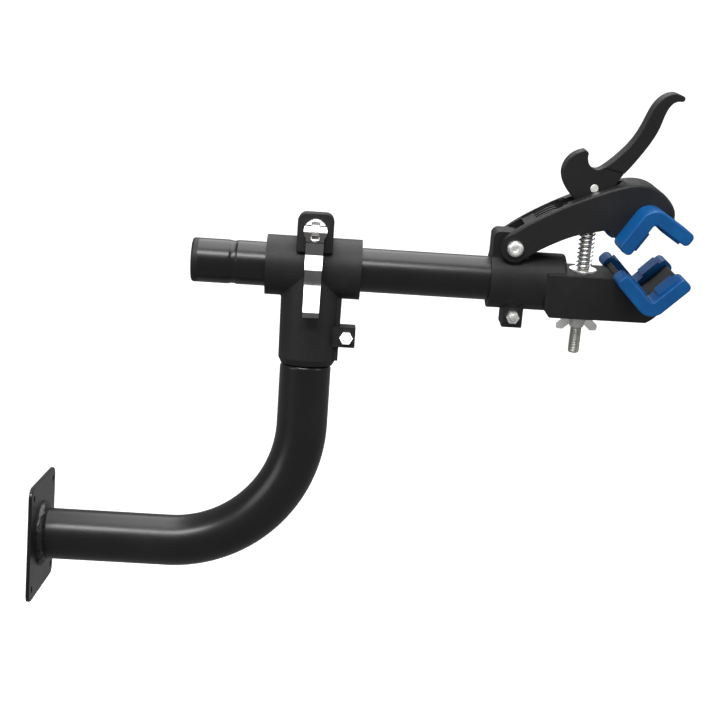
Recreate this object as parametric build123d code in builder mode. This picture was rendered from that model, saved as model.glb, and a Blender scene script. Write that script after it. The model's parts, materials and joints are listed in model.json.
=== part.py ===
from build123d import *
import math
import os

# Wall-mounted bicycle repair clamp. Millimetres. Origin: centre of the wall plate's back face.
# +X points out from the wall, +Z is up, -Y is the side that carries the levers.
os.makedirs("parts", exist_ok=True)

# ---- wall plate and bent tube ----
PLATE_SIZE = 100.0
PLATE_THICK = 3.0
PLATE_CORNER_R = 9.0
WALL_HOLE_SPACING = 80.0
WALL_HOLE_R = 3.0
POST_X = 226.0
POST_R = 22.25
TUBE_WALL = 2.0
BEND_R = 112.0
WELD_LEG = 6.5
WELD_DEPTH = 5.5
ARM_Z = 250.0
NECK_R = 19.0
SHOULDER_ROUND = 3.0

# ---- bracket that joins the post to the clamp tube ----
TEE_SLEEVE_R = 26.0
TEE_LEFT = POST_X - 39.0
TEE_RIGHT = POST_X + 43.0
TEE_MID = (TEE_LEFT + TEE_RIGHT) / 2
TEE_FOOT_Z = ARM_Z - 84.5
TEE_STEM_R = 25.0
TEE_STEM_X = POST_X + 0.8
TEE_RIM = 5.0
TEE_ROUND = 1.5
TEE_BORE_R = 19.35
NECK_BORE_R = NECK_R + 0.1
NECK_TOP_Z = ARM_Z - 29.0
EAR_WIDTH = 31.0
EAR_HALF = 27.0
EAR_FOOT_Z = ARM_Z + 13.5
EAR_TOP_Z = ARM_Z + 47.0
EAR_SLIT = 4.0
EAR_ROUND = 7.0
LUG_REACH_X = POST_X + 41.5
LUG_HALF = 14.0
LUG_LOW_Z = ARM_Z - 67.0
LUG_HIGH_Z = ARM_Z - 49.5
LUG_BOLT_X = POST_X + 33.6
LUG_BOLT_Z = ARM_Z - 58.4
LUG_SLIT = 3.0
M6_R = 3.0
M6_HOLE_R = 3.3
M6_NUT_ACROSS = 10.0
M6_NUT_THICK = 5.0

# ---- quick release ----
QR_Z = ARM_Z + 32.5
QR_HEAD_Y = -38.5
QR_CAM_R = 9.0
QR_HEAD_WIDTH = 19.5
QR_SLOT = 7.0
QR_PIN_R = 3.9
CUP_R = 9.9
CUP_THICK = 6.0

# ---- clamp tube ----
CLAMP_TUBE_R = 19.05
CLAMP_TUBE_LEFT = POST_X - 103.0
CLAMP_TUBE_RIGHT = POST_X + 198.0
CAP_LENGTH = 5.7
GROOVE_X = POST_X - 67.2
GROOVE_HALF = 3.6
GROOVE_DEPTH = 0.7

# ---- clamp head ----
HEAD_LEFT = POST_X + 154.0
HEAD_SLEEVE_R = 25.3
HEAD_BORE_R = CLAMP_TUBE_R + 0.1
SHELL_END = POST_X + 219.0
SHELL_ROUND = 2.5
BOX_LEFT = POST_X + 201.7
BOX_REAR_ROUND = 3.0
BOX_RIM_ROUND = 1.2
BOX_TOP_Z = ARM_Z + 12.3
BOX_LOW_Z = ARM_Z - 26.0
LOWER_HALF = 23.5
UPPER_HALF = 20.0
CREST_ROUND = 2.0
SLEEVE_SIDE_R = 22.6
PAD_FRONT = 47.0
TONGUE_END = 42.0
PIVOT_X = POST_X + 172.0
PIVOT_Z = ARM_Z + 32.0
PIVOT_R = 4.0
ARM_END_R = 12.0
KNUCKLE_HALF = 11.7
CHEEK_INNER = 12.0
HEAD_LUG_LEFT = POST_X + 168.0
HEAD_LUG_RIGHT = POST_X + 185.7
HEAD_LUG_LOW_Z = ARM_Z - 39.7
HEAD_LUG_HALF = 13.0
HEAD_BOLT_X = POST_X + 176.6
HEAD_BOLT_Z = ARM_Z - 29.8
HEAD_ROLL = 10.0

# ---- jaws: a right-angled vee in each, with a rubber pad over both edges ----
LOWER_VEE = (POST_X + 288.3, ARM_Z - 2.2)
UPPER_VEE = (POST_X + 281.8, ARM_Z + 65.4)
UPPER_TILT = 13.0
LEG_LENGTH = 34.0
LEG_THICK = 12.0
LINING = 4.2
TONGUE_BACK = 9.2
TONGUE_SHORT = 3.0
GRIP_START = 9.0
GRIP_END = 27.0
GRIP_RISE = 2.0

# ---- spindle, cam lever, spring, wing nut ----
ROD_X = POST_X + 235.5
ROD_R = 5.0
ROD_LOW_Z = ARM_Z - 62.0
CAM_Z = ARM_Z + 85.3
CAM_PIN_R = 3.5
EYE_R = 7.0
EYE_HALF = 3.0
SHANK_FLAT_Z = CAM_Z - 34.0
LEVER_HALF = 7.0
HANDLE_HALF = 8.0
RIM_ROUND = 0.8
SLOT_HALF = 8.5
RIB_HALF = 15.4
WASHER_R = 12.0
WASHER_THICK = 1.5
SPRING_R = 6.4
WIRE_R = 0.9
SPRING_TURNS = 9.0
SPRING_TOP_Z = ARM_Z + 50.0
NUT_HUB_R = 8.5
NUT_HUB_HEIGHT = 10.5
FIT = 0.1


def at(s, z):
    """A point of the side view: s along the arm from the post, z above the arm's axis."""
    return (POST_X + s, ARM_Z + z)


def around_pivot(degrees):
    """A point of the side view on the rounded end of the jaw arm."""
    turn = math.radians(degrees)
    return (PIVOT_X + ARM_END_R * math.cos(turn), PIVOT_Z + ARM_END_R * math.sin(turn))


def long_rim(part, half, shortest):
    """The rim edges of a symmetric extrusion that are longer than a given length."""
    rims = part.edges().filter_by(lambda e: abs(abs(e.center().Y) - half) < 0.01)
    return rims.filter_by(lambda e: e.length > shortest)


def vee_point(apex, opens, tilt, side, along, depth):
    """A point on one leg of a vee: along the leg from the apex, depth out from its gripping face."""
    leg = math.radians(90 * opens - 45 * side * opens + tilt)
    out = leg - math.radians(90 * side * opens)
    x = apex[0] + along * math.cos(leg) + depth * math.cos(out)
    z = apex[1] + along * math.sin(leg) + depth * math.sin(out)
    return (x, z)


def vee_band(apex, opens, tilt, near, far, length, inner_round, outer_round, tip_round):
    """A vee-shaped band between two depths, rounded at its corners."""
    corners = [
        vee_point(apex, opens, tilt, -1, length, near),
        vee_point(apex, opens, tilt, 1, -near, near),
        vee_point(apex, opens, tilt, 1, length, near),
        vee_point(apex, opens, tilt, 1, length, far),
        vee_point(apex, opens, tilt, 1, -far, far),
        vee_point(apex, opens, tilt, -1, length, far),
    ]
    rounds = [tip_round, inner_round, tip_round, tip_round, outer_round, tip_round]
    with BuildSketch() as band:
        with BuildLine():
            Polyline(*corners, close=True)
        make_face()
        for corner, radius in zip(corners, rounds):
            spot = [v for v in band.vertices() if math.hypot(v.X - corner[0], v.Y - corner[1]) < 0.01]
            if radius > 0 and spot:
                fillet(spot, radius)
    return band.sketch_local


def grip_blocks(apex, opens, tilt, back):
    """The raised grip block on each of the two legs of a vee."""
    with BuildSketch() as blocks:
        for side in (-1, 1):
            with BuildLine():
                Polyline(
                    vee_point(apex, opens, tilt, side, GRIP_START, back),
                    vee_point(apex, opens, tilt, side, GRIP_START, -GRIP_RISE),
                    vee_point(apex, opens, tilt, side, GRIP_END, -GRIP_RISE),
                    vee_point(apex, opens, tilt, side, GRIP_END, back),
                    close=True,
                )
            make_face()
    return blocks.sketch_local


TONGUE_LENGTH = LEG_LENGTH - TONGUE_SHORT
lower_tongue = vee_band(LOWER_VEE, 1, 0, LINING, TONGUE_BACK, TONGUE_LENGTH, 5, 8, 1)
upper_tongue = vee_band(UPPER_VEE, -1, UPPER_TILT, LINING, TONGUE_BACK, TONGUE_LENGTH, 5, 8, 1)
lower_outline = vee_band(LOWER_VEE, 1, 0, 0, LEG_THICK, LEG_LENGTH, 3, 14, 4.5)
upper_outline = vee_band(UPPER_VEE, -1, UPPER_TILT, 0, LEG_THICK, LEG_LENGTH, 3, 14, 4.5)
lower_grips = grip_blocks(LOWER_VEE, 1, 0, LINING)
upper_grips = grip_blocks(UPPER_VEE, -1, UPPER_TILT, LINING)


# ================= base =================
with BuildPart() as wall_plate:
    with BuildSketch(Plane.YZ):
        RectangleRounded(PLATE_SIZE, PLATE_SIZE, PLATE_CORNER_R)
        with GridLocations(WALL_HOLE_SPACING, WALL_HOLE_SPACING, 2, 2):
            Circle(WALL_HOLE_R, mode=Mode.SUBTRACT)
    extrude(amount=PLATE_THICK)
    chamfer(wall_plate.faces().sort_by(Axis.X)[-1].outer_wire().edges(), 0.5)
wall_plate.part.label = "wall_plate"

with BuildPart() as plate_weld:
    with BuildSketch(Plane.XY):
        with BuildLine():
            start = (PLATE_THICK, POST_R)
            toe = (PLATE_THICK, POST_R + WELD_LEG)
            crown = (PLATE_THICK + WELD_DEPTH * 0.74, POST_R + WELD_LEG * 0.74)
            end = (PLATE_THICK + WELD_DEPTH, POST_R)
            Line(start, toe)
            ThreePointArc(toe, crown, end)
            Line(end, start)
        make_face()
    revolve(axis=Axis.X)
plate_weld.part.label = "plate_weld"

with BuildPart() as bent_tube:
    with BuildLine(Plane.XZ) as tube_path:
        run = Line((PLATE_THICK, 0), (POST_X - BEND_R, 0))
        turn = JernArc(start=run @ 1, tangent=run % 1, radius=BEND_R, arc_size=90)
        rise = Line(turn @ 1, (POST_X, TEE_FOOT_Z - 8))
    with BuildSketch(Plane.YZ.offset(PLATE_THICK)):
        Circle(POST_R)
        Circle(POST_R - TUBE_WALL, mode=Mode.SUBTRACT)
    sweep(path=tube_path.wires()[0])
    shoulder_top = TEE_FOOT_Z - 0.3
    with BuildSketch(Plane(origin=(POST_X, 0, 0), x_dir=(1, 0, 0), z_dir=(0, -1, 0))) as neck_profile:
        with BuildLine():
            base_out = (POST_R, TEE_FOOT_Z - 8)
            lip = (POST_R, shoulder_top - SHOULDER_ROUND)
            lip_mid = (POST_R - SHOULDER_ROUND * 0.29, shoulder_top - SHOULDER_ROUND * 0.29)
            lip_end = (POST_R - SHOULDER_ROUND, shoulder_top)
            neck_foot = (NECK_R, shoulder_top)
            neck_edge = (NECK_R, NECK_TOP_Z - 1)
            neck_top = (NECK_R - 1, NECK_TOP_Z)
            bore_top = (NECK_R - TUBE_WALL, NECK_TOP_Z)
            bore_foot = (NECK_R - TUBE_WALL, shoulder_top - 3)
            base_in = (POST_R - TUBE_WALL, TEE_FOOT_Z - 8)
            Line(base_out, lip)
            ThreePointArc(lip, lip_mid, lip_end)
            Polyline(lip_end, neck_foot, neck_edge, neck_top, bore_top, bore_foot, base_in, base_out)
        make_face()
    revolve(axis=Axis((POST_X, 0, 0), (0, 0, 1)))
bent_tube.part.label = "bent_tube"

# ================= bracket =================
with BuildPart() as tee_bracket:
    with BuildSketch(Plane.YZ.offset(TEE_LEFT)):
        with Locations((0, ARM_Z)):
            Circle(TEE_SLEEVE_R)
    extrude(amount=TEE_RIGHT - TEE_LEFT)
    with BuildSketch(Plane.XY.offset(TEE_FOOT_Z + TEE_RIM)):
        with Locations((TEE_STEM_X, 0)):
            Circle(TEE_STEM_R)
    extrude(amount=ARM_Z - TEE_FOOT_Z - TEE_RIM, taper=-0.7)
    with BuildSketch(Plane.XY.offset(TEE_FOOT_Z + TEE_RIM)):
        with Locations((TEE_STEM_X, 0)):
            Circle(TEE_STEM_R)
    extrude(amount=-TEE_RIM, taper=28)
    with BuildSketch(Plane.XY.offset(TEE_FOOT_Z + TEE_RIM)):
        with Locations((POST_X + 17, 0)):
            RectangleRounded(21, 20, 3)
    extrude(amount=ARM_Z - 20 - TEE_FOOT_Z - TEE_RIM, taper=-0.7)
    stem_seam = edges().filter_by(lambda e: ARM_Z - 30 < e.center().Z < ARM_Z - 15 and e.length > 25)
    fillet(stem_seam, TEE_ROUND)
    with BuildSketch(Plane.XY.offset(LUG_LOW_Z)):
        with Locations(((POST_X + 18 + LUG_REACH_X) / 2, 0)):
            RectangleRounded(LUG_REACH_X - POST_X - 18, LUG_HALF * 2, 2)
    extrude(amount=LUG_HIGH_Z - LUG_LOW_Z)
    with BuildSketch(Plane.XZ.offset(-EAR_HALF)):
        with Locations((TEE_MID, (EAR_FOOT_Z + EAR_TOP_Z) / 2)):
            Rectangle(EAR_WIDTH, EAR_TOP_Z - EAR_FOOT_Z)
        fillet(vertices().group_by(Axis.Y)[-1], EAR_ROUND)
        fillet(vertices().group_by(Axis.Y)[0], 2)
    extrude(amount=EAR_HALF * 2)
    ear_rims = [e for e in edges() if abs(abs(e.center().Y) - EAR_HALF) < 0.01]
    fillet(ear_rims, 1.2)
    with BuildSketch(Plane.YZ.offset(TEE_LEFT)):
        with Locations((0, ARM_Z)):
            Circle(TEE_BORE_R)
        with Locations((0, ARM_Z + 34)):
            Rectangle(EAR_SLIT, 40)
    extrude(amount=TEE_RIGHT - TEE_LEFT, mode=Mode.SUBTRACT)
    with BuildSketch(Plane.XY.offset(TEE_FOOT_Z)):
        with Locations((POST_X, 0)):
            Circle(NECK_BORE_R)
    extrude(amount=NECK_TOP_Z + 0.5 - TEE_FOOT_Z, mode=Mode.SUBTRACT)
    with BuildSketch(Plane.XY.offset(TEE_FOOT_Z)):
        with Locations((POST_X + 30, 0)):
            Rectangle(30, LUG_SLIT)
    extrude(amount=LUG_HIGH_Z + 4 - TEE_FOOT_Z, mode=Mode.SUBTRACT)
    with BuildSketch(Plane.XZ):
        with Locations((TEE_MID, QR_Z), (LUG_BOLT_X, LUG_BOLT_Z)):
            Circle(M6_HOLE_R)
    extrude(amount=EAR_HALF + 1, both=True, mode=Mode.SUBTRACT)
tee_bracket.part.label = "tee_bracket"

with BuildPart() as tee_pinch_bolt:
    with BuildSketch(Plane.XZ.offset(LUG_HALF + 6.5)):
        with Locations((LUG_BOLT_X, LUG_BOLT_Z)):
            Circle(M6_R)
    extrude(amount=-(LUG_HALF * 2 + 6.5))
    with BuildSketch(Plane.XZ.offset(-LUG_HALF)):
        with Locations((LUG_BOLT_X, LUG_BOLT_Z)):
            RegularPolygon(M6_NUT_ACROSS / 2, 6, major_radius=False)
    extrude(amount=-4)
    chamfer(tee_pinch_bolt.faces().sort_by(Axis.Y)[0].edges(), 0.6)
tee_pinch_bolt.part.label = "tee_pinch_bolt"

with BuildPart() as tee_pinch_nut:
    with BuildSketch(Plane.XZ.offset(LUG_HALF)):
        with Locations((LUG_BOLT_X, LUG_BOLT_Z)):
            RegularPolygon(M6_NUT_ACROSS / 2, 6, major_radius=False)
            Circle(M6_R, mode=Mode.SUBTRACT)
    extrude(amount=M6_NUT_THICK)
tee_pinch_nut.part.label = "tee_pinch_nut"

# ================= quick release =================
with BuildPart() as qr_cup_washer:
    with BuildSketch(Plane.XZ.offset(EAR_HALF)):
        with Locations((TEE_MID, QR_Z)):
            Circle(CUP_R)
            Circle(M6_HOLE_R, mode=Mode.SUBTRACT)
    extrude(amount=CUP_THICK)
    fillet(qr_cup_washer.faces().sort_by(Axis.Y)[0].outer_wire().edges(), 1.5)
    with BuildSketch(Plane.YZ.offset(TEE_MID - 15)):
        with Locations((QR_HEAD_Y, QR_Z)):
            Circle(QR_CAM_R + 0.3)
    extrude(amount=30, mode=Mode.SUBTRACT)
qr_cup_washer.part.label = "qr_cup_washer"

with BuildPart() as qr_skewer:
    with BuildSketch(Plane.XZ.offset(-(QR_HEAD_Y + 4.1))):
        with Locations((TEE_MID, QR_Z)):
            Circle(M6_R)
    extrude(amount=-(EAR_HALF + 13 - (QR_HEAD_Y + 4.1)))
    chamfer(qr_skewer.faces().sort_by(Axis.Y)[-1].edges(), 0.7)
    with BuildSketch(Plane.YZ.offset(TEE_MID - QR_SLOT / 2 + 0.4)):
        with Locations((QR_HEAD_Y, QR_Z)):
            Circle(5.2)
            Circle(QR_PIN_R, mode=Mode.SUBTRACT)
        with Locations((QR_HEAD_Y + 6.2, QR_Z)):
            Rectangle(4.4, 5.5)
    extrude(amount=QR_SLOT - 0.8)
qr_skewer.part.label = "qr_skewer"

with BuildPart() as qr_barrel_pin:
    with BuildSketch(Plane.YZ.offset(TEE_MID - QR_HEAD_WIDTH / 2 + 1)):
        with Locations((QR_HEAD_Y, QR_Z)):
            Circle(QR_PIN_R)
    extrude(amount=QR_HEAD_WIDTH - 2)
qr_barrel_pin.part.label = "qr_barrel_pin"

with BuildPart() as qr_lever:
    with BuildSketch(Plane.YZ.offset(TEE_MID - QR_HEAD_WIDTH / 2)):
        with Locations((QR_HEAD_Y, QR_Z)):
            Circle(QR_CAM_R)
    extrude(amount=QR_HEAD_WIDTH)
    with BuildSketch(Plane.XZ.offset(20)):
        with Locations((TEE_MID, QR_Z)):
            Circle(QR_HEAD_WIDTH / 2)
    extrude(amount=40, mode=Mode.INTERSECT)
    with BuildSketch(Plane.YZ.offset(TEE_MID - 7.6)):
        with BuildLine():
            face_line = Spline(
                (QR_HEAD_Y - 6.5, QR_Z - 4),
                (QR_HEAD_Y - 2.5, QR_Z - 14),
                (QR_HEAD_Y + 2.5, QR_Z - 25),
                (QR_HEAD_Y - 0.5, QR_Z - 38),
                (QR_HEAD_Y + 1.5, QR_Z - 55),
                (QR_HEAD_Y - 1.5, QR_Z - 75),
            )
            back_line = Spline(
                (QR_HEAD_Y + 2.3, QR_Z - 74.6),
                (QR_HEAD_Y + 5.0, QR_Z - 55),
                (QR_HEAD_Y + 3.2, QR_Z - 38),
                (QR_HEAD_Y + 6.3, QR_Z - 25),
                (QR_HEAD_Y + 4.0, QR_Z - 12),
                (QR_HEAD_Y + 3.0, QR_Z - 2),
            )
            Line(face_line @ 1, back_line @ 0)
            Line(back_line @ 1, face_line @ 0)
        make_face()
    extrude(amount=15.2)
    for side in (-1, 1):
        with BuildSketch(Plane.XZ.offset(20)):
            with BuildLine():
                Polyline(
                    (TEE_MID + side * 7.6, QR_Z - 15),
                    (TEE_MID + side * 6.8, QR_Z - 76),
                    (TEE_MID + side * 12, QR_Z - 76),
                    (TEE_MID + side * 12, QR_Z - 15),
                    close=True,
                )
            make_face()
        extrude(amount=40, mode=Mode.SUBTRACT)
    with BuildSketch(Plane.YZ.offset(TEE_MID - QR_HEAD_WIDTH)):
        with Locations((QR_HEAD_Y, QR_Z)):
            Circle(QR_PIN_R + FIT)
    extrude(amount=QR_HEAD_WIDTH * 2, mode=Mode.SUBTRACT)
    with BuildSketch(Plane.XY.offset(QR_Z - 10)):
        with Locations((TEE_MID, QR_HEAD_Y)):
            Rectangle(QR_SLOT, 24)
    extrude(amount=22, mode=Mode.SUBTRACT)
qr_lever.part.label = "qr_lever"

with BuildPart() as qr_adjuster_nut:
    with BuildSketch(Plane.XZ.offset(-(EAR_HALF + 0.3))):
        with Locations((TEE_MID, QR_Z)):
            Circle(8)
            with PolarLocations(8.6, 12):
                Circle(1.3, mode=Mode.SUBTRACT)
            Circle(M6_R + FIT, mode=Mode.SUBTRACT)
    extrude(amount=-8)
qr_adjuster_nut.part.label = "qr_adjuster_nut"

# ================= clamp tube =================
with BuildPart() as clamp_tube:
    with BuildSketch(Plane.YZ.offset(CLAMP_TUBE_LEFT + CAP_LENGTH)):
        with Locations((0, ARM_Z)):
            Circle(CLAMP_TUBE_R)
            Circle(CLAMP_TUBE_R - TUBE_WALL, mode=Mode.SUBTRACT)
    extrude(amount=CLAMP_TUBE_RIGHT - CLAMP_TUBE_LEFT - CAP_LENGTH)
    with BuildSketch(Plane.XZ):
        with BuildLine():
            groove_start = (GROOVE_X - GROOVE_HALF, ARM_Z + CLAMP_TUBE_R)
            groove_floor = (GROOVE_X, ARM_Z + CLAMP_TUBE_R - GROOVE_DEPTH)
            groove_end = (GROOVE_X + GROOVE_HALF, ARM_Z + CLAMP_TUBE_R)
            ThreePointArc(groove_start, groove_floor, groove_end)
            Line(groove_end, groove_start)
        make_face()
    revolve(axis=Axis((0, 0, ARM_Z), (1, 0, 0)), mode=Mode.SUBTRACT)
clamp_tube.part.label = "clamp_tube"

with BuildPart() as tube_end_cap:
    with BuildSketch(Plane.YZ.offset(CLAMP_TUBE_LEFT)):
        with Locations((0, ARM_Z)):
            Circle(CLAMP_TUBE_R)
    extrude(amount=CAP_LENGTH)
    fillet(tube_end_cap.faces().sort_by(Axis.X)[0].edges(), 2.6)
    with BuildSketch(Plane.YZ.offset(CLAMP_TUBE_LEFT + CAP_LENGTH)):
        with Locations((0, ARM_Z)):
            Circle(CLAMP_TUBE_R - TUBE_WALL)
            Circle(CLAMP_TUBE_R - TUBE_WALL - 3, mode=Mode.SUBTRACT)
    extrude(amount=12)
tube_end_cap.part.label = "tube_end_cap"

# ================= clamp head =================
with BuildPart() as lower_jaw:
    with BuildSketch(Plane.XZ.offset(-LOWER_HALF)):
        with BuildLine():
            crown = at(262.4, 12.3)
            chin = at(290, -25.5)
            under_leg = at(305.3, 1.5)
            Polyline(chin, at(206.7, -26), at(201.7, -19.8), at(201.7, 12.3), crown)
            Polyline(crown, at(287, -12.5), under_leg)
            ThreePointArc(under_leg, at(300.5, -16.5), chin)
        make_face()
    extrude(amount=LOWER_HALF * 2)
    fillet(lower_jaw.edges().filter_by(Axis.Z).sort_by(Axis.X)[:2], BOX_REAR_ROUND)
    box_rims = lower_jaw.edges().filter_by(Axis.X)
    fillet(box_rims, BOX_RIM_ROUND)
    with BuildSketch(Plane.YZ.offset(HEAD_LEFT)):
        with Locations((0, ARM_Z)):
            Ellipse(SLEEVE_SIDE_R, HEAD_SLEEVE_R)
    extrude(amount=BOX_LEFT + BOX_REAR_ROUND - HEAD_LEFT)
    with BuildSketch(Plane.YZ.offset(BOX_LEFT)):
        with Locations((0, ARM_Z)):
            Ellipse(SLEEVE_SIDE_R, HEAD_SLEEVE_R)
        with Locations((0, BOX_TOP_Z + 10)):
            Rectangle(SLEEVE_SIDE_R * 2, 22, mode=Mode.INTERSECT)
    extrude(amount=SHELL_END - BOX_LEFT)
    shell_edges = lower_jaw.edges().filter_by(GeomType.ELLIPSE)
    fillet(shell_edges.filter_by(lambda e: abs(e.center().X - SHELL_END) < 0.01), SHELL_ROUND)
    with BuildSketch(Plane.XZ.offset(-LOWER_HALF)):
        add(lower_tongue)
    extrude(amount=LOWER_HALF * 2)
    with BuildSketch(Plane.XZ.offset(-TONGUE_END)):
        add(lower_tongue)
    extrude(amount=TONGUE_END * 2)
    with BuildSketch(Plane.XZ.offset(-KNUCKLE_HALF)):
        with BuildLine():
            back_foot = at(154, 10)
            back_top = at(154, 38)
            back_round = at(155.8, 42.3)
            flat_start = at(160, 44)
            flat_end = (PIVOT_X, PIVOT_Z + ARM_END_R)
            nose = (PIVOT_X + ARM_END_R, PIVOT_Z)
            nose_mid = (PIVOT_X + ARM_END_R * 0.7071, PIVOT_Z + ARM_END_R * 0.7071)
            Line(back_foot, back_top)
            ThreePointArc(back_top, back_round, flat_start)
            Line(flat_start, flat_end)
            ThreePointArc(flat_end, nose_mid, nose)
            Polyline(nose, at(186, 22), at(186, 10), back_foot)
        make_face()
    extrude(amount=KNUCKLE_HALF * 2)
    with BuildSketch(Plane.XY.offset(HEAD_LUG_LOW_Z)):
        with Locations(((HEAD_LUG_LEFT + HEAD_LUG_RIGHT) / 2, 0)):
            RectangleRounded(HEAD_LUG_RIGHT - HEAD_LUG_LEFT, HEAD_LUG_HALF * 2, 1.5)
    extrude(amount=20)
    with BuildSketch(Plane.YZ.offset(HEAD_LEFT)):
        with Locations((0, ARM_Z)):
            Circle(HEAD_BORE_R)
    extrude(amount=CLAMP_TUBE_RIGHT + 0.5 - HEAD_LEFT, mode=Mode.SUBTRACT)
    with BuildSketch(Plane.XY.offset(HEAD_LUG_LOW_Z)):
        with Locations((POST_X + 172, 0)):
            Rectangle(36.5, LUG_SLIT)
    extrude(amount=25, mode=Mode.SUBTRACT)
    with BuildSketch(Plane.XZ.offset(CHEEK_INNER)):
        with Locations((PIVOT_X, PIVOT_Z)):
            Circle(ARM_END_R + 0.7)
    extrude(amount=20, mode=Mode.SUBTRACT)
    with BuildSketch(Plane.XZ.offset(-CHEEK_INNER)):
        with Locations((PIVOT_X, PIVOT_Z)):
            Circle(ARM_END_R + 0.7)
    extrude(amount=-20, mode=Mode.SUBTRACT)
    with BuildSketch(Plane.XZ):
        with Locations((PIVOT_X, PIVOT_Z)):
            Circle(PIVOT_R + 0.05)
        with Locations((HEAD_BOLT_X, HEAD_BOLT_Z)):
            Circle(M6_HOLE_R)
    extrude(amount=LOWER_HALF, both=True, mode=Mode.SUBTRACT)
    with BuildSketch(Plane.XY.offset(BOX_LOW_Z - 1)):
        with Locations((ROD_X, 0)):
            Circle(ROD_R + 0.5)
    extrude(amount=BOX_TOP_Z - BOX_LOW_Z + 2, mode=Mode.SUBTRACT)
lower_jaw.part.label = "lower_jaw"

with BuildPart() as head_pinch_bolt:
    with BuildSketch(Plane.XZ.offset(HEAD_LUG_HALF + 6.5)):
        with Locations((HEAD_BOLT_X, HEAD_BOLT_Z)):
            Circle(M6_R)
    extrude(amount=-(HEAD_LUG_HALF * 2 + 6.5))
    with BuildSketch(Plane.XZ.offset(-HEAD_LUG_HALF)):
        with Locations((HEAD_BOLT_X, HEAD_BOLT_Z)):
            RegularPolygon(M6_NUT_ACROSS / 2, 6, major_radius=False)
    extrude(amount=-4)
    chamfer(head_pinch_bolt.faces().sort_by(Axis.Y)[0].edges(), 0.6)
head_pinch_bolt.part.label = "head_pinch_bolt"

with BuildPart() as head_pinch_nut:
    with BuildSketch(Plane.XZ.offset(HEAD_LUG_HALF)):
        with Locations((HEAD_BOLT_X, HEAD_BOLT_Z)):
            RegularPolygon(M6_NUT_ACROSS / 2, 6, major_radius=False)
            Circle(M6_R, mode=Mode.SUBTRACT)
    extrude(amount=M6_NUT_THICK)
head_pinch_nut.part.label = "head_pinch_nut"

with BuildPart() as jaw_pivot_bolt:
    with BuildSketch(Plane.XZ.offset(UPPER_HALF + 0.3)):
        with Locations((PIVOT_X, PIVOT_Z)):
            Circle(7)
    extrude(amount=4.2)
    fillet(jaw_pivot_bolt.faces().sort_by(Axis.Y)[0].edges(), 2.6)
    with BuildSketch(Plane.XZ.offset(UPPER_HALF + 4.5)):
        with Locations((PIVOT_X, PIVOT_Z)):
            RegularPolygon(2.5, 6, major_radius=False)
    extrude(amount=-2.6, mode=Mode.SUBTRACT)
    with BuildSketch(Plane.XZ.offset(UPPER_HALF + 0.3)):
        with Locations((PIVOT_X, PIVOT_Z)):
            Circle(PIVOT_R)
    extrude(amount=-(UPPER_HALF * 2 + 10))
jaw_pivot_bolt.part.label = "jaw_pivot_bolt"

with BuildPart() as jaw_pivot_nut:
    with BuildSketch(Plane.XZ.offset(-(UPPER_HALF + 0.3))):
        with Locations((PIVOT_X, PIVOT_Z)):
            RegularPolygon(6.5, 6, major_radius=False)
            Circle(PIVOT_R, mode=Mode.SUBTRACT)
    extrude(amount=-6.5)
jaw_pivot_nut.part.label = "jaw_pivot_nut"

with BuildPart() as spring_washer:
    with BuildSketch(Plane.XY.offset(BOX_TOP_Z)):
        with Locations((ROD_X, 0)):
            Circle(WASHER_R)
            Circle(ROD_R + 0.35, mode=Mode.SUBTRACT)
    extrude(amount=WASHER_THICK)
    fillet(spring_washer.faces().sort_by(Axis.Z)[-1].outer_wire().edges(), 0.6)
spring_washer.part.label = "spring_washer"

with BuildPart() as lower_washer:
    with BuildSketch(Plane.XY.offset(BOX_LOW_Z - WASHER_THICK)):
        with Locations((ROD_X, 0)):
            Circle(WASHER_R - 1)
            Circle(ROD_R + 0.35, mode=Mode.SUBTRACT)
    extrude(amount=WASHER_THICK)
lower_washer.part.label = "lower_washer"

# ================= rubber pads: one over each side of each jaw =================
lower_pads = []
upper_pads = []
for name, side in (("near", 1), ("far", -1)):
    with BuildPart() as lower_pad:
        with BuildSketch(Plane.XZ.offset(side * LOWER_HALF)):
            add(lower_outline)
        extrude(amount=side * (PAD_FRONT - LOWER_HALF))
        rim = [e for e in edges() if abs(abs(e.center().Y) - PAD_FRONT) < 0.01]
        fillet(rim, 1.5)
        with BuildSketch(Plane.XZ.offset(side * LOWER_HALF)):
            add(lower_grips)
        extrude(amount=side * (PAD_FRONT - 3 - LOWER_HALF))
        with BuildSketch(Plane.XZ.offset(side * (LOWER_HALF - 12))):
            add(lower_tongue)
        extrude(amount=side * (TONGUE_END - LOWER_HALF + 12), mode=Mode.SUBTRACT)
    lower_pad.part.label = "lower_pad_" + name
    lower_pads.append(lower_pad.part)
    with BuildPart() as upper_pad:
        with BuildSketch(Plane.XZ.offset(side * UPPER_HALF)):
            add(upper_outline)
        extrude(amount=side * (PAD_FRONT - UPPER_HALF))
        rim = [e for e in edges() if abs(abs(e.center().Y) - PAD_FRONT) < 0.01]
        fillet(rim, 1.5)
        with BuildSketch(Plane.XZ.offset(side * UPPER_HALF)):
            add(upper_grips)
        extrude(amount=side * (PAD_FRONT - 3 - UPPER_HALF))
        with BuildSketch(Plane.XZ.offset(side * (UPPER_HALF - 12))):
            add(upper_tongue)
        extrude(amount=side * (TONGUE_END - UPPER_HALF + 12), mode=Mode.SUBTRACT)
    upper_pad.part.label = "upper_pad_" + name
    upper_pads.append(upper_pad.part)

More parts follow.
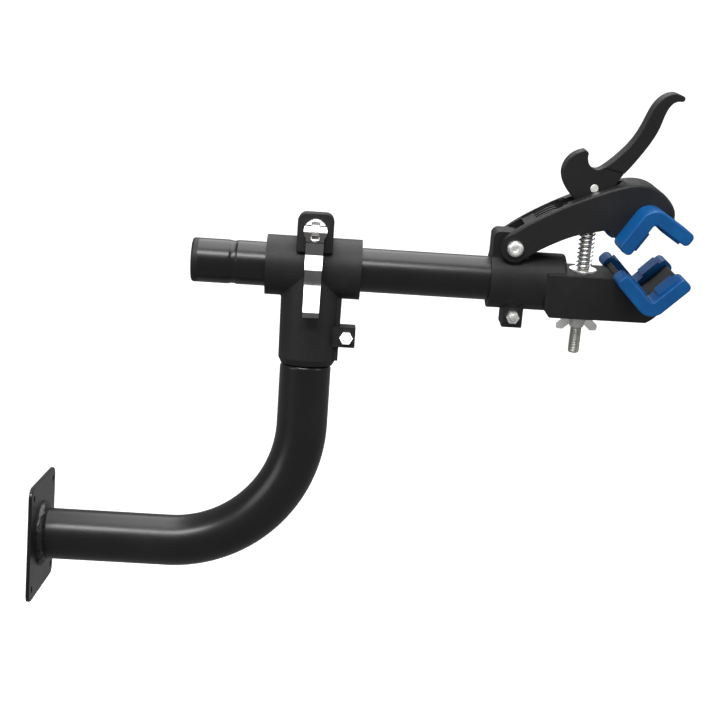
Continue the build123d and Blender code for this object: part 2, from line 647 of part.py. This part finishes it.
# ================= upper jaw =================
with BuildPart() as upper_jaw:
    with BuildSketch(Plane.XZ.offset(-UPPER_HALF)):
        with BuildLine():
            crest = Spline(
                at(165.3, 42),
                at(177, 51),
                at(192, 60.5),
                at(206.5, 68.6),
                at(219.5, 75),
                at(238, 82.9),
                at(257, 90),
                at(270, 92.6),
                at(281, 91.8),
                at(290.5, 87.8),
                at(298.3, 81),
                at(303, 74),
                at(304.3, 67.5),
            )
            belly = Spline(
                at(249, 53),
                at(238, 50.4),
                at(222, 46.2),
                at(209.8, 41),
                at(197.7, 34.6),
                at(187, 28.2),
            )
            Polyline(crest @ 1, at(302.6, 62.3), at(279.8, 73.9), at(264.8, 47), at(258.8, 44.8), belly @ 0)
            heel_low = around_pivot(-62)
            Line(belly @ 1, heel_low)
            heel_back = around_pivot(185)
            ThreePointArc(heel_low, heel_back, crest @ 0)
        make_face()
    extrude(amount=UPPER_HALF * 2)
    fillet(long_rim(upper_jaw, UPPER_HALF, 120), CREST_ROUND)
    with BuildSketch(Plane.XZ.offset(-UPPER_HALF)):
        add(upper_tongue)
    extrude(amount=UPPER_HALF * 2)
    with BuildSketch(Plane.XZ.offset(-TONGUE_END)):
        add(upper_tongue)
    extrude(amount=TONGUE_END * 2)
    with BuildSketch(Plane.XZ.offset(-CHEEK_INNER)):
        with Locations((PIVOT_X, PIVOT_Z)):
            Circle(15.5)
        with BuildLine():
            Polyline(
                at(140, 10),
                at(178, 10),
                at(186.5, 33),
                at(181.5, 48),
                at(168, 70),
                at(140, 70),
                close=True,
            )
        make_face()
    extrude(amount=CHEEK_INNER * 2, mode=Mode.SUBTRACT)
    with BuildSketch(Plane.XZ):
        with Locations((PIVOT_X, PIVOT_Z)):
            Circle(PIVOT_R + FIT)
    extrude(amount=UPPER_HALF + 1, both=True, mode=Mode.SUBTRACT)
    with BuildSketch(Plane.XZ.offset(-RIB_HALF)):
        with BuildLine():
            rib_tops = Spline(at(180, 51.5), at(190, 57.6), at(203, 65), at(210, 66.5))
            Polyline(rib_tops @ 1, at(208, 82), at(170, 66), rib_tops @ 0)
        make_face()
    extrude(amount=RIB_HALF * 2, mode=Mode.SUBTRACT)
    for y in (-11.1, -3.7, 3.7, 11.1):
        with BuildSketch(Plane.XZ.offset(y - 2.1)):
            with BuildLine():
                floor = Spline(at(189, 51), at(200, 56.4), at(214, 60.5))
                Polyline(floor @ 1, at(214, 80), at(188.5, 72), floor @ 0)
            make_face()
        extrude(amount=4.2, mode=Mode.SUBTRACT)
    with BuildSketch(Plane.XZ.offset(-SLOT_HALF)):
        with BuildLine():
            cam_floor = Spline(
                at(201.5, 69.5),
                at(205.5, 66),
                at(211, 63.9),
                at(218, 63.2),
                at(226, 65.4),
                at(233, 68.6),
                at(240, 69.4),
                at(246, 72),
                at(252, 82),
            )
            Polyline(cam_floor @ 1, at(272, 100), at(197, 90), cam_floor @ 0)
        make_face()
    extrude(amount=SLOT_HALF * 2, mode=Mode.SUBTRACT)
    with BuildSketch(Plane.XY.offset(ARM_Z + 40)):
        with Locations((POST_X + 233.4, 0)):
            SlotOverall(20.4, 11.2)
    extrude(amount=40, mode=Mode.SUBTRACT)
upper_jaw.part.label = "upper_jaw"

# ================= spindle and cam =================
with BuildPart() as spindle_rod:
    with BuildSketch(Plane.XY.offset(ROD_LOW_Z)):
        with Locations((ROD_X, 0)):
            Circle(ROD_R)
    extrude(amount=CAM_Z - ROD_LOW_Z)
    chamfer(spindle_rod.faces().sort_by(Axis.Z)[0].edges(), 1)
    with BuildSketch(Plane.XZ.offset(-EYE_HALF)):
        with Locations((ROD_X, CAM_Z)):
            Circle(EYE_R)
    extrude(amount=EYE_HALF * 2)
    with BuildSketch(Plane.XZ.offset(EYE_HALF)):
        with Locations((ROD_X, (SHANK_FLAT_Z + CAM_Z + 10) / 2)):
            Rectangle(20, CAM_Z + 10 - SHANK_FLAT_Z)
    extrude(amount=10, mode=Mode.SUBTRACT)
    with BuildSketch(Plane.XZ.offset(-EYE_HALF)):
        with Locations((ROD_X, (SHANK_FLAT_Z + CAM_Z + 10) / 2)):
            Rectangle(20, CAM_Z + 10 - SHANK_FLAT_Z)
    extrude(amount=-10, mode=Mode.SUBTRACT)
    with BuildSketch(Plane.XZ):
        with Locations((ROD_X, CAM_Z)):
            Circle(CAM_PIN_R)
    extrude(amount=10, both=True, mode=Mode.SUBTRACT)
spindle_rod.part.label = "spindle_rod"

with BuildPart() as cam_pin:
    with BuildSketch(Plane.XZ.offset(LEVER_HALF + 0.6)):
        with Locations((ROD_X, CAM_Z)):
            Circle(CAM_PIN_R)
    extrude(amount=-(LEVER_HALF + 0.6) * 2)
    fillet(cam_pin.edges().filter_by(GeomType.CIRCLE), 0.4)
cam_pin.part.label = "cam_pin"

with BuildPart() as cam_lever:
    with BuildSketch(Plane.XZ.offset(-LEVER_HALF)):
        with BuildLine():
            lobe = Spline(
                at(236, 70.3),
                at(222.5, 73.3),
                at(213.5, 82),
                at(208.6, 91),
                at(207.5, 98),
                at(209.2, 105),
                at(214, 111.6),
                at(223.5, 116.6),
            )
            beak = (POST_X + 227.3, ARM_Z + 113.5)
            beak_mid = (POST_X + 226.3, ARM_Z + 116.2)
            ThreePointArc(lobe @ 1, beak_mid, beak)
            inner = Spline(
                beak,
                at(227.6, 108.4),
                at(230.4, 103.6),
                at(235.6, 101),
                at(241.5, 103.2),
                at(247, 107.9),
            )
            heel = Spline(at(266, 108.5), at(257, 95.5), at(250, 82), at(244, 73), at(236, 70.3))
            Line(inner @ 1, heel @ 0)
        make_face()
    extrude(amount=LEVER_HALF * 2)
    fillet(long_rim(cam_lever, LEVER_HALF, 50), RIM_ROUND)
    with BuildSketch(Plane.XZ.offset(-HANDLE_HALF)):
        with BuildLine():
            upper_edge = Spline(
                at(242, 103.5),
                at(255.1, 115.7),
                at(266.2, 130.1),
                at(273.2, 145.2),
                at(277.7, 156.1),
                at(284.5, 164.8),
                at(293.6, 168.8),
                at(299.5, 167.4),
            )
            tip_mid = at(302, 164.6)
            tip_low = at(299.6, 162.4)
            ThreePointArc(upper_edge @ 1, tip_mid, tip_low)
            lower_edge = Spline(
                tip_low,
                at(292.7, 160.3),
                at(288.6, 154),
                at(284.3, 140.1),
                at(274, 119.8),
                at(259.5, 99.5),
            )
            Line(lower_edge @ 1, upper_edge @ 0)
        make_face()
    extrude(amount=HANDLE_HALF * 2)
    fillet(long_rim(cam_lever, HANDLE_HALF, 10), RIM_ROUND)
    with BuildSketch(Plane.XZ.offset(-EYE_HALF - 0.3)):
        with Locations((ROD_X, CAM_Z)):
            Circle(EYE_R + 1)
        with BuildLine():
            Polyline(
                at(235.5, 93.3),
                at(200, 93.3 + 8),
                at(190, 60),
                at(243.7, 60),
                at(243.5, 85.3),
                close=True,
            )
        make_face()
    extrude(amount=(EYE_HALF + 0.3) * 2, mode=Mode.SUBTRACT)
    with BuildSketch(Plane.XZ):
        with Locations((ROD_X, CAM_Z)):
            Circle(CAM_PIN_R + 0.06)
    extrude(amount=HANDLE_HALF + 1, both=True, mode=Mode.SUBTRACT)
cam_lever.part.label = "cam_lever"

with BuildPart() as jaw_spring:
    spring_low = BOX_TOP_Z + WASHER_THICK + WIRE_R
    spring_high = SPRING_TOP_Z - WIRE_R - 0.3
    spring_rise = spring_high - spring_low
    with BuildLine() as coil:
        Helix(
            pitch=spring_rise / SPRING_TURNS,
            height=spring_rise,
            radius=SPRING_R,
            center=(ROD_X, 0, spring_low),
        )
    with BuildSketch(Plane(origin=coil.line @ 0, z_dir=coil.line % 0)):
        Circle(WIRE_R)
    sweep(path=coil.line, is_frenet=True)
jaw_spring.part.label = "jaw_spring"

with BuildPart() as wing_nut:
    hub_top = BOX_LOW_Z - WASHER_THICK - 0.1
    with BuildSketch(Plane.XY.offset(hub_top)):
        with Locations((ROD_X, 0)):
            Circle(NUT_HUB_R)
    extrude(amount=-NUT_HUB_HEIGHT, taper=12)
    for side in (-1, 1):
        with BuildSketch(Plane.XZ.offset(-1.3)):
            with BuildLine():
                Polyline(
                    (ROD_X + side * 5.4, hub_top - 1),
                    (ROD_X + side * 9, hub_top - 0.5),
                    (ROD_X + side * 18.2, hub_top - 8.5),
                    (ROD_X + side * 18.2, hub_top - 13.5),
                    (ROD_X + side * 12, hub_top - 13.8),
                    (ROD_X + side * 5.6, hub_top - 8),
                    close=True,
                )
            make_face()
            outer = [v for v in vertices() if abs(v.X - ROD_X) > 10]
            fillet(outer, 2.2)
        extrude(amount=2.6)
    with BuildSketch(Plane.XY.offset(hub_top)):
        with Locations((ROD_X, 0)):
            Circle(ROD_R + FIT)
    extrude(amount=-NUT_HUB_HEIGHT - 1, mode=Mode.SUBTRACT)
wing_nut.part.label = "wing_nut"

fixed_pieces = [
    wall_plate,
    plate_weld,
    bent_tube,
    tee_bracket,
    tee_pinch_bolt,
    tee_pinch_nut,
    qr_cup_washer,
    qr_skewer,
    qr_barrel_pin,
    qr_lever,
    qr_adjuster_nut,
    clamp_tube,
    tube_end_cap,
]
for piece in fixed_pieces:
    export_step(piece.part, "parts/" + piece.part.label + ".step")

# The clamp head is turned a little about the clamp tube, with its top towards the lever side.
TUBE_AXIS = Axis((0, 0, ARM_Z), (1, 0, 0))
head_pieces = [
    lower_jaw,
    head_pinch_bolt,
    head_pinch_nut,
    jaw_pivot_bolt,
    jaw_pivot_nut,
    spring_washer,
    lower_washer,
    upper_jaw,
    spindle_rod,
    cam_pin,
    cam_lever,
    jaw_spring,
    wing_nut,
]
for piece in head_pieces:
    turned = piece.part.rotate(TUBE_AXIS, HEAD_ROLL)
    turned.label = piece.part.label
    export_step(turned, "parts/" + turned.label + ".step")
for pad in lower_pads + upper_pads:
    turned = pad.rotate(TUBE_AXIS, HEAD_ROLL)
    turned.label = pad.label
    export_step(turned, "parts/" + turned.label + ".step")
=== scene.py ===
import bpy
import json
import math
from mathutils import Matrix, Vector


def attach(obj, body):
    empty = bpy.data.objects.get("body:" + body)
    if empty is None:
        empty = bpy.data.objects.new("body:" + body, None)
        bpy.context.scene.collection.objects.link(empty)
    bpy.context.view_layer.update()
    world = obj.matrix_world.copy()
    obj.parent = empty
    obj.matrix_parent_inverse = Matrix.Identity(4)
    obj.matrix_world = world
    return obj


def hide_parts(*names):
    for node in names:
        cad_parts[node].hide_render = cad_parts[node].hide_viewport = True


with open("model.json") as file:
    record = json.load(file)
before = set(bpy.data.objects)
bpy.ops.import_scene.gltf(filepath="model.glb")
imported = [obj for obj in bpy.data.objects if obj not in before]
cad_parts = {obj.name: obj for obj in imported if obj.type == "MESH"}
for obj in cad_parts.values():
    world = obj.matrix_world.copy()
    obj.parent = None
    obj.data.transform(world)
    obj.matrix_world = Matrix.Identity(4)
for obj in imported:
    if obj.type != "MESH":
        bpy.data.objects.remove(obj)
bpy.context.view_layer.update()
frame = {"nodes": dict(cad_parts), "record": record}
scene = bpy.context.scene
nodes = frame["nodes"]

# ---------------------------------------------------------------- materials


def new_material(name):
    mat = bpy.data.materials.new(name)
    mat.use_nodes = True
    tree = mat.node_tree
    tree.nodes.clear()
    out = tree.nodes.new("ShaderNodeOutputMaterial")
    bsdf = tree.nodes.new("ShaderNodeBsdfPrincipled")
    tree.links.new(bsdf.outputs["BSDF"], out.inputs["Surface"])
    return mat, tree, bsdf


def coords(tree):
    return tree.nodes.new("ShaderNodeTexCoord").outputs["Object"]


def noise(tree, vector, scale, detail=3.0, rough=0.5):
    node = tree.nodes.new("ShaderNodeTexNoise")
    node.inputs["Scale"].default_value = scale
    node.inputs["Detail"].default_value = detail
    node.inputs["Roughness"].default_value = rough
    tree.links.new(vector, node.inputs["Vector"])
    return node.outputs["Fac"]


def ramp(tree, fac, stops):
    node = tree.nodes.new("ShaderNodeValToRGB")
    elements = node.color_ramp.elements
    for element, (position, colour) in zip(elements, (stops[0], stops[-1])):
        element.position = position
        element.color = (*colour, 1)
    for position, colour in stops[1:-1]:
        elements.new(position).color = (*colour, 1)
    tree.links.new(fac, node.inputs["Fac"])
    return node.outputs["Color"]


# Most of a noise texture's values lie between these two.
NOISE_LOW = 0.3
NOISE_HIGH = 0.7


def span(tree, fac, low, high):
    node = tree.nodes.new("ShaderNodeMapRange")
    node.inputs["From Min"].default_value = NOISE_LOW
    node.inputs["From Max"].default_value = NOISE_HIGH
    node.inputs["To Min"].default_value = low
    node.inputs["To Max"].default_value = high
    tree.links.new(fac, node.inputs["Value"])
    return node.outputs["Result"]


def bump(tree, bsdf, height, strength, distance, before=None):
    node = tree.nodes.new("ShaderNodeBump")
    node.inputs["Strength"].default_value = strength
    node.inputs["Distance"].default_value = distance
    tree.links.new(height, node.inputs["Height"])
    if before is not None:
        tree.links.new(before, node.inputs["Normal"])
    tree.links.new(node.outputs["Normal"], bsdf.inputs["Normal"])
    return node.outputs["Normal"]


PAINT_TONES = [(0.3, (0.0035, 0.0035, 0.004)), (0.55, (0.006, 0.006, 0.007)), (0.75, (0.010, 0.010, 0.011))]
PLASTIC_TONES = [(0.3, (0.010, 0.010, 0.011)), (0.6, (0.017, 0.017, 0.018)), (0.8, (0.026, 0.026, 0.028))]
RUBBER_TONES = [(0.3, (0.0003, 0.100, 0.345)), (0.6, (0.0003, 0.130, 0.42)), (0.8, (0.0005, 0.160, 0.49))]


def black_paint(name="black_paint", lumps=0.0):
    mat, tree, bsdf = new_material(name)
    v = coords(tree)
    cloud = noise(tree, v, scale=14, detail=4)
    fine = noise(tree, v, scale=900, detail=2)
    peel = noise(tree, v, scale=160, detail=2)
    tree.links.new(ramp(tree, cloud, PAINT_TONES), bsdf.inputs["Base Color"])
    tree.links.new(span(tree, cloud, 0.27, 0.36), bsdf.inputs["Roughness"])
    bsdf.inputs["Coat Weight"].default_value = 0.35
    bsdf.inputs["Coat Roughness"].default_value = 0.22
    first = bump(tree, bsdf, peel, strength=0.10, distance=0.0004)
    if lumps:
        ripples = noise(tree, v, scale=130, detail=1)
        first = bump(tree, bsdf, ripples, strength=lumps, distance=0.004, before=first)
    bump(tree, bsdf, fine, strength=0.08, distance=0.0001, before=first)
    return mat


def black_plastic():
    mat, tree, bsdf = new_material("black_plastic")
    v = coords(tree)
    cloud = noise(tree, v, scale=22, detail=4)
    grain = noise(tree, v, scale=1500, detail=3, rough=0.6)
    pits = noise(tree, v, scale=520, detail=2)
    tree.links.new(ramp(tree, cloud, PLASTIC_TONES), bsdf.inputs["Base Color"])
    tree.links.new(span(tree, grain, 0.44, 0.60), bsdf.inputs["Roughness"])
    first = bump(tree, bsdf, pits, strength=0.25, distance=0.0003)
    bump(tree, bsdf, grain, strength=0.35, distance=0.00015, before=first)
    return mat


# The wave texture repeats every 2 pi / (20 x scale) metres, so this draws one thread per pitch.
THREAD_PITCH = 0.0015
THREAD_SCALE = 2 * math.pi / (20 * THREAD_PITCH)


def metal(name, low, high, rough_low, rough_high, metallic=1.0, strength=0.1, thread=False):
    mat, tree, bsdf = new_material(name)
    v = coords(tree)
    cloud = noise(tree, v, scale=60, detail=4)
    fine = noise(tree, v, scale=1100, detail=3)
    tones = [(NOISE_LOW, low), (NOISE_HIGH, high)]
    tree.links.new(ramp(tree, cloud, tones), bsdf.inputs["Base Color"])
    bsdf.inputs["Metallic"].default_value = metallic
    tree.links.new(span(tree, cloud, rough_low, rough_high), bsdf.inputs["Roughness"])
    first = bump(tree, bsdf, fine, strength=strength, distance=0.00006)
    if thread:
        wave = tree.nodes.new("ShaderNodeTexWave")
        wave.bands_direction = "Z"
        wave.inputs["Scale"].default_value = THREAD_SCALE
        tree.links.new(v, wave.inputs["Vector"])
        bump(tree, bsdf, wave.outputs["Fac"], strength=0.8, distance=0.0006, before=first)
    return mat


def blue_rubber():
    mat, tree, bsdf = new_material("blue_rubber")
    v = coords(tree)
    cloud = noise(tree, v, scale=45, detail=4)
    grain = noise(tree, v, scale=1300, detail=3)
    tree.links.new(ramp(tree, cloud, RUBBER_TONES), bsdf.inputs["Base Color"])
    tree.links.new(span(tree, grain, 0.38, 0.50), bsdf.inputs["Roughness"])
    bump(tree, bsdf, grain, strength=0.2, distance=0.0001)
    return mat


PAINT = black_paint()
PLASTIC = black_plastic()
CHROME = metal(
    "chrome",
    low=(0.38, 0.37, 0.37),
    high=(0.47, 0.46, 0.455),
    rough_low=0.06,
    rough_high=0.11,
    strength=0.04,
)
ZINC = metal(
    "zinc_steel",
    low=(0.46, 0.46, 0.45),
    high=(0.63, 0.63, 0.61),
    rough_low=0.24,
    rough_high=0.38,
    metallic=0.75,
    strength=0.2,
)
ROD = metal(
    "threaded_steel",
    low=(0.28, 0.28, 0.255),
    high=(0.39, 0.39, 0.355),
    rough_low=0.26,
    rough_high=0.40,
    metallic=0.8,
    strength=0.2,
    thread=True,
)
SPRING = metal(
    "spring_steel",
    low=(0.55, 0.56, 0.57),
    high=(0.80, 0.81, 0.82),
    rough_low=0.16,
    rough_high=0.28,
    metallic=0.9,
)
RUBBER = blue_rubber()
WELD = black_paint("weld_paint", lumps=0.9)
BY_SLOT = {
    "black_paint": PAINT,
    "black_plastic": PLASTIC,
    "chrome": CHROME,
    "zinc_steel": ZINC,
    "spring_steel": SPRING,
    "blue_rubber": RUBBER,
}
BY_NODE = {"plate_weld": WELD, "spindle_rod": ROD}
slot_of = {s["node"]: s["material_slot"] for s in frame["record"]["subparts"]}
for name, obj in nodes.items():
    obj.data.materials.clear()
    obj.data.materials.append(BY_NODE.get(name) or BY_SLOT[slot_of[name]])

# ------------------------------------------------- quick-release lever with its pressed waves

# Heights are measured from the lever's hinge. Each step moves a height on the CAD lever, first
# number, to the height where its pressed wave belongs, second number, and the part above
# LEVER_ROOT stays as it is. Below LEVER_TIP the blade also curls towards the bracket.
QR_Z = 0.2825
LEVER_ROOT = -0.008
LEVER_STEPS = [(-0.014, -0.0105), (-0.025, -0.0205), (-0.038, -0.0305), (-0.055, -0.0405), (-0.078, -0.078)]
LEVER_TIP = -0.068
TIP_CURL = 0.45


def waved(z):
    before = (LEVER_ROOT, LEVER_ROOT)
    for step in LEVER_STEPS:
        if z >= step[0]:
            share = (z - before[0]) / (step[0] - before[0])
            return before[1] + share * (step[1] - before[1])
        before = step
    return z


lever_mesh = nodes["qr_lever"].data.copy()
lever_mesh.name = "qr_lever_waved"
for vert in lever_mesh.vertices:
    drop = vert.co.z - QR_Z
    if drop < LEVER_ROOT:
        drop = waved(drop)
        vert.co.z = QR_Z + drop
        vert.co.y += max(0.0, LEVER_TIP - drop) * TIP_CURL
waved_lever = bpy.data.objects.new("qr_lever_waved", lever_mesh)
scene.collection.objects.link(waved_lever)
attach(waved_lever, "qr_handle")
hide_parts("qr_lever")

# ---------------------------------------------------------------- stage


# The backdrop glows by itself and doesn't light the object, so the black parts stay black.
BACKDROP_COLOUR = (0.93, 0.93, 0.93)
BACKDROP_GLOW = 0.72


def stage_mesh(name, verts, faces):
    me = bpy.data.meshes.new(name)
    me.from_pydata(verts, [], faces)
    o = bpy.data.objects.new(name, me)
    scene.collection.objects.link(o)
    mat, tree, bsdf = new_material(name)
    bsdf.inputs["Base Color"].default_value = (*BACKDROP_COLOUR, 1)
    bsdf.inputs["Roughness"].default_value = 0.9
    bsdf.inputs["Emission Color"].default_value = (1, 1, 1, 1)
    bsdf.inputs["Emission Strength"].default_value = BACKDROP_GLOW
    me.materials.append(mat)
    o.visible_glossy = False
    o.visible_diffuse = False
    return o


FLOOR_Z = -0.42
SWEEP_Y = 1.2
SWEEP_R = 1.6
SWEEP_TOP = 6.0
SWEEP_STEPS = 24
FLOOR_REACH = 60.0
profile = [(-FLOOR_REACH, FLOOR_Z), (SWEEP_Y, FLOOR_Z)]
for step in range(1, SWEEP_STEPS + 1):
    turn = math.radians(90 * step / SWEEP_STEPS)
    profile.append((SWEEP_Y + SWEEP_R * math.sin(turn), FLOOR_Z + SWEEP_R * (1 - math.cos(turn))))
profile.append((SWEEP_Y + SWEEP_R, SWEEP_TOP))
floor = stage_mesh(
    "floor",
    [(x, y, z) for y, z in profile for x in (-FLOOR_REACH, FLOOR_REACH)],
    [(2 * i, 2 * i + 1, 2 * i + 3, 2 * i + 2) for i in range(len(profile) - 1)],
)
for poly in floor.data.polygons:
    poly.use_smooth = True
# Walls and a ceiling that only a camera reaching as far as FLOOR_REACH can see.
far_walls = stage_mesh(
    "far_walls",
    [
        (x * FLOOR_REACH, y * FLOOR_REACH, z)
        for z in (FLOOR_Z, FLOOR_REACH)
        for x, y in ((-1, -1), (1, -1), (1, 1), (-1, 1))
    ],
    [(0, 1, 5, 4), (1, 2, 6, 5), (2, 3, 7, 6), (3, 0, 4, 7), (4, 5, 6, 7)],
)
far_walls.visible_shadow = False


def area(name, place, target, size, power, size_y=None):
    data = bpy.data.lights.new(name, "AREA")
    data.shape = "RECTANGLE"
    data.size = size
    data.size_y = size_y or size
    data.energy = power
    o = bpy.data.objects.new(name, data)
    scene.collection.objects.link(o)
    o.location = place
    o.rotation_mode = "QUATERNION"
    o.rotation_quaternion = (Vector(target) - Vector(place)).to_track_quat("-Z", "Y")
    o.visible_camera = False
    return o


area("key", (-0.15, -1.6, 1.75), (0.28, 0, 0.2), 1.4, 26, size_y=0.5)
area("left_fill", (-1.6, -1.2, 0.7), (0.25, 0, 0.2), 1.0, 6)
area("right_fill", (1.9, -0.9, 0.9), (0.3, 0, 0.25), 0.9, 5)
area("rim", (0.3, 1.0, 1.7), (0.28, 0, 0.2), 1.2, 10)
area("top", (0.35, -0.15, 2.0), (0.35, 0, 0.2), 1.3, 16)

# These light only the bare metal, which otherwise reflects little but the dim world.
metal_lights = (
    area("metal_fill", (0.2, -1.7, 0.62), (0.3, 0, 0.22), 1.6, 44, size_y=1.5),
    area("metal_left", (-1.7, -0.1, 0.8), (0.25, 0, 0.2), 1.2, 12),
    area("metal_right", (2.2, -0.1, 0.8), (0.3, 0, 0.25), 1.2, 12),
    area("metal_back", (0.3, 1.1, 0.5), (0.3, 0, 0.2), 1.2, 14),
)
metals = bpy.data.collections.new("metals")
metal_slots = ("chrome", "zinc_steel", "spring_steel")
for name, obj in nodes.items():
    if slot_of[name] in metal_slots and name != "qr_lever":
        metals.objects.link(obj)
metals.objects.link(waved_lever)
for light in metal_lights:
    light.light_linking.receiver_collection = metals

world = bpy.data.worlds.new("studio")
world.use_nodes = True
world.node_tree.nodes["Background"].inputs["Color"].default_value = (1, 1, 1, 1)
world.node_tree.nodes["Background"].inputs["Strength"].default_value = 0.22
scene.world = world
scene.view_settings.view_transform = "Standard"
scene.view_settings.look = "None"

# ---------------------------------------------------------------- camera

SENSOR_MM = 36.0
LENS_MM = 67.65
PITCH = math.radians(7.67)
YAW = math.radians(1.94)
ROLL = math.radians(3.77)
EYE = Vector((0.2337, -1.1727, 0.3292))

fwd = Vector((math.sin(YAW) * math.cos(PITCH), math.cos(YAW) * math.cos(PITCH), -math.sin(PITCH)))
right = Vector((math.cos(YAW), -math.sin(YAW), 0))
down = fwd.cross(right)
right_r = math.cos(ROLL) * right - math.sin(ROLL) * down
down_r = math.sin(ROLL) * right + math.cos(ROLL) * down
cam_data = bpy.data.cameras.new("camera")
cam_data.sensor_width = SENSOR_MM
cam_data.lens = LENS_MM
cam = bpy.data.objects.new("camera", cam_data)
scene.collection.objects.link(cam)
axes = Matrix((right_r, -down_r, -fwd)).transposed().to_4x4()
cam.matrix_world = Matrix.Translation(EYE) @ axes
scene.camera = cam
